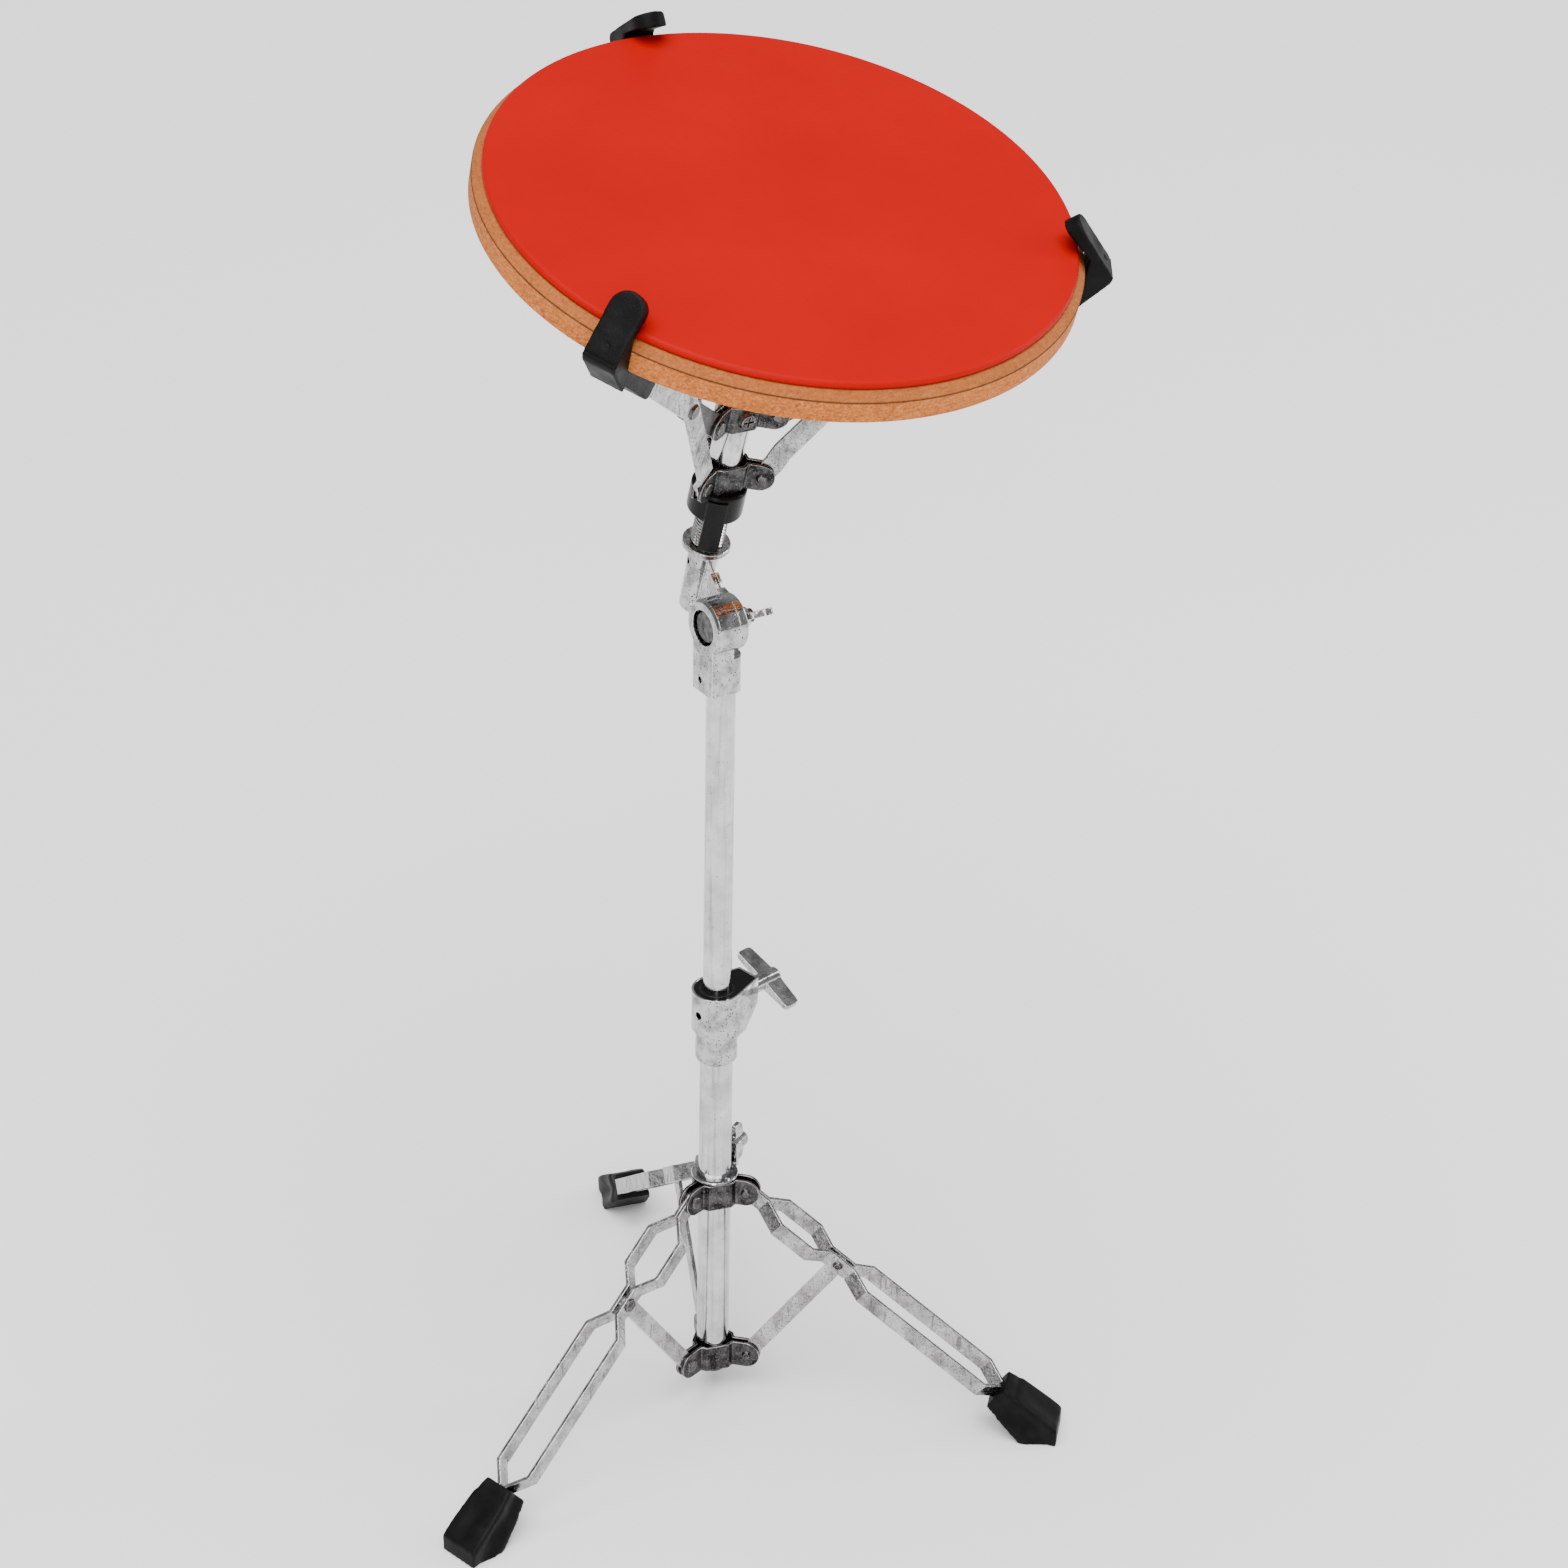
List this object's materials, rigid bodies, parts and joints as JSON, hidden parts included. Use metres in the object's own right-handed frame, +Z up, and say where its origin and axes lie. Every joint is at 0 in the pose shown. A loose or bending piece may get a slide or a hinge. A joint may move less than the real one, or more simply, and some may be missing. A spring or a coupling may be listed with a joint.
{
  "type": "practice pad on stand",
  "caption": "Round rubber-faced practice pad held by a screw-closed basket on a tilting, height-adjustable, folding double-braced tripod stand.",
  "frame": {"origin": "on the floor, on the axis of the stand's tube", "axes": "+Z up along the tube; the tilter's hinge runs along X; the pad leans towards -Y, where the player sits"},
  "size_m": [0.3663, 0.3884, 0.8131],
  "materials": {
    "chrome_tube": "polished",
    "cast_chrome": "plated casting",
    "galvanised_strip": "plated, slightly worn",
    "dark_steel": "black-nickel plated",
    "rivet_steel": "satin",
    "black_rubber": "matt",
    "black_plastic": "satin",
    "red_rubber": "satin",
    "fibreboard": "bare"
  },
  "bodies": {
    "lower_tube": {"lower_tube": "chrome_tube", "tube_plug": "black_plastic", "foot_bracket_plates": "dark_steel", "foot_bracket_rivets": "rivet_steel", "height_clamp": "cast_chrome", "clamp_bush": "black_plastic"},
    "height_wing_bolt": {"height_wing_bolt": "cast_chrome"},
    "upper_tube": {"upper_tube": "chrome_tube", "tube_guide": "black_plastic", "tilter_base": "cast_chrome", "tilter_bolt": "rivet_steel"},
    "tilter_wing_nut": {"tilter_wing_nut": "cast_chrome"},
    "tilt_head": {"tilter_head": "cast_chrome", "stem_washer": "dark_steel", "basket_stem": "chrome_tube", "stem_cap": "black_plastic", "top_bracket_plates": "dark_steel", "top_bracket_rivets": "rivet_steel", "bracket_screw": "rivet_steel", "pad_board": "fibreboard", "pad_rubber": "red_rubber"},
    "basket_bracket": {"low_bracket_plates": "dark_steel", "low_bracket_rivets": "rivet_steel"},
    "basket_nut": {"basket_nut": "black_plastic"},
    "leg_collar": {"collar_sleeve": "chrome_tube", "collar_plates": "dark_steel", "collar_rivets": "rivet_steel"},
    "collar_wing_bolt": {"collar_wing_bolt": "cast_chrome"},
    "leg_1": {"leg_1_strip_left": "galvanised_strip", "leg_1_strip_right": "galvanised_strip", "leg_1_rivet": "rivet_steel", "leg_1_foot": "black_rubber"},
    "strut_1": {"strut_1": "galvanised_strip"},
    "basket_arm_1": {"arm_1": "galvanised_strip", "arm_1_rivet": "rivet_steel", "grip_1": "black_rubber"},
    "basket_link_1": {"link_1": "dark_steel"},
    "leg_2": {"leg_2_strip_left": "galvanised_strip", "leg_2_strip_right": "galvanised_strip", "leg_2_rivet": "rivet_steel", "leg_2_foot": "black_rubber"},
    "strut_2": {"strut_2": "galvanised_strip"},
    "basket_arm_2": {"arm_2": "galvanised_strip", "arm_2_rivet": "rivet_steel", "grip_2": "black_rubber"},
    "basket_link_2": {"link_2": "dark_steel"},
    "leg_3": {"leg_3_strip_left": "galvanised_strip", "leg_3_strip_right": "galvanised_strip", "leg_3_rivet": "rivet_steel", "leg_3_foot": "black_rubber"},
    "strut_3": {"strut_3": "galvanised_strip"},
    "basket_arm_3": {"arm_3": "galvanised_strip", "arm_3_rivet": "rivet_steel", "grip_3": "black_rubber"},
    "basket_link_3": {"link_3": "dark_steel"}
  },
  "joints": [
    {"name": "height_slide", "type": "slide", "parent": "lower_tube", "child": "upper_tube", "axis": [0, 0, 1], "range_m": [-0.145, 0.03]},
    {"name": "height_bolt_turn", "type": "hinge", "parent": "lower_tube", "child": "height_wing_bolt", "pos_m": [0, 0, 0.2715], "axis": [0.9848, 0.1736, 0], "range_deg": [0, 360]},
    {"name": "tilter_hinge", "type": "hinge", "parent": "upper_tube", "child": "tilt_head", "pos_m": [0, 0, 0.51], "axis": [1, 0, 0], "range_deg": [-33, 72]},
    {"name": "tilter_nut_turn", "type": "hinge", "parent": "upper_tube", "child": "tilter_wing_nut", "pos_m": [0.0125, 0, 0.51], "axis": [1, 0, 0], "range_deg": [0, 360]},
    {"name": "basket_slide", "type": "slide", "parent": "tilt_head", "child": "basket_bracket", "axis": [0, 0.3007, -0.9537], "range_m": [0, 0.0045]},
    {"name": "basket_nut_turn", "type": "hinge", "parent": "basket_bracket", "child": "basket_nut", "pos_m": [0.007, 0.01581, 0.5779], "axis": [0, 0.3007, -0.9537], "range_deg": [0, 810]},
    {"name": "collar_slide", "type": "slide", "parent": "lower_tube", "child": "leg_collar", "axis": [0, 0, 1], "range_m": [0, 0.04395]},
    {"name": "collar_bolt_turn", "type": "hinge", "parent": "leg_collar", "child": "collar_wing_bolt", "pos_m": [0, 0, 0.1624], "axis": [0.8988, 0.4384, 0], "range_deg": [0, 360]},
    {"name": "arm_1_hinge", "type": "hinge", "parent": "basket_bracket", "child": "basket_arm_1", "pos_m": [0.00814, 0.03077, 0.59855], "axis": [-0.9984, 0.0532, 0.0168], "range_deg": [0, 4.29]},
    {"name": "link_1_hinge", "type": "hinge", "parent": "tilt_head", "child": "basket_link_1", "pos_m": [0.00818, 0.01925, 0.63738], "axis": [-0.9984, 0.0532, 0.0168], "range_deg": [0, 10.25]},
    {"name": "leg_1_hinge", "type": "hinge", "parent": "leg_collar", "child": "leg_1", "pos_m": [0.00533, 0.01871, 0.1459], "axis": [-0.9617, 0.274, 0], "range_deg": [0, 48]},
    {"name": "strut_1_hinge", "type": "hinge", "parent": "lower_tube", "child": "strut_1", "pos_m": [0.00589, 0.02068, 0.0274], "axis": [0.9617, -0.274, 0], "range_deg": [0, 33.12]},
    {"name": "arm_2_hinge", "type": "hinge", "parent": "basket_bracket", "child": "basket_arm_2", "pos_m": [-0.0113, 0.00243, 0.58962], "axis": [0.4509, -0.8513, -0.2684], "range_deg": [0, 4.29]},
    {"name": "link_2_hinge", "type": "hinge", "parent": "tilt_head", "child": "basket_link_2", "pos_m": [-0.01192, -0.01005, 0.62815], "axis": [0.4509, -0.8513, -0.2684], "range_deg": [0, 10.25]},
    {"name": "leg_2_hinge", "type": "hinge", "parent": "leg_collar", "child": "leg_2", "pos_m": [-0.01886, -0.00474, 0.1459], "axis": [0.2436, -0.9699, 0], "range_deg": [0, 48]},
    {"name": "strut_2_hinge", "type": "hinge", "parent": "lower_tube", "child": "strut_2", "pos_m": [-0.02085, -0.00524, 0.0274], "axis": [-0.2436, 0.9699, 0], "range_deg": [0, 33.12]},
    {"name": "arm_3_hinge", "type": "hinge", "parent": "basket_bracket", "child": "basket_arm_3", "pos_m": [0.02415, 0.00054, 0.58902], "axis": [0.5476, 0.798, 0.2516], "range_deg": [0, 4.29]},
    {"name": "link_3_hinge", "type": "hinge", "parent": "tilt_head", "child": "basket_link_3", "pos_m": [0.02474, -0.01201, 0.62753], "axis": [0.5476, 0.798, 0.2516], "range_deg": [0, 10.25]},
    {"name": "leg_3_hinge", "type": "hinge", "parent": "leg_collar", "child": "leg_3", "pos_m": [0.01354, -0.01397, 0.1459], "axis": [0.7181, 0.6959, 0], "range_deg": [0, 48]},
    {"name": "strut_3_hinge", "type": "hinge", "parent": "lower_tube", "child": "strut_3", "pos_m": [0.01496, -0.01544, 0.0274], "axis": [-0.7181, -0.6959, 0], "range_deg": [0, 33.12]}
  ],
  "couplings": [
    {"joint": "basket_nut_turn", "follows": "basket_slide", "rad_per_m": 3141.6},
    {"joint": "arm_1_hinge", "follows": "basket_slide", "rad_per_m": 16.619},
    {"joint": "link_1_hinge", "follows": "basket_slide", "rad_per_m": 39.753},
    {"joint": "leg_1_hinge", "follows": "collar_slide", "rad_per_m": 19.06},
    {"joint": "strut_1_hinge", "follows": "collar_slide", "rad_per_m": 13.152},
    {"joint": "arm_2_hinge", "follows": "basket_slide", "rad_per_m": 16.619},
    {"joint": "link_2_hinge", "follows": "basket_slide", "rad_per_m": 39.753},
    {"joint": "leg_2_hinge", "follows": "collar_slide", "rad_per_m": 19.06},
    {"joint": "strut_2_hinge", "follows": "collar_slide", "rad_per_m": 13.152},
    {"joint": "arm_3_hinge", "follows": "basket_slide", "rad_per_m": 16.619},
    {"joint": "link_3_hinge", "follows": "basket_slide", "rad_per_m": 39.753},
    {"joint": "leg_3_hinge", "follows": "collar_slide", "rad_per_m": 19.06},
    {"joint": "strut_3_hinge", "follows": "collar_slide", "rad_per_m": 13.152}
  ]
}
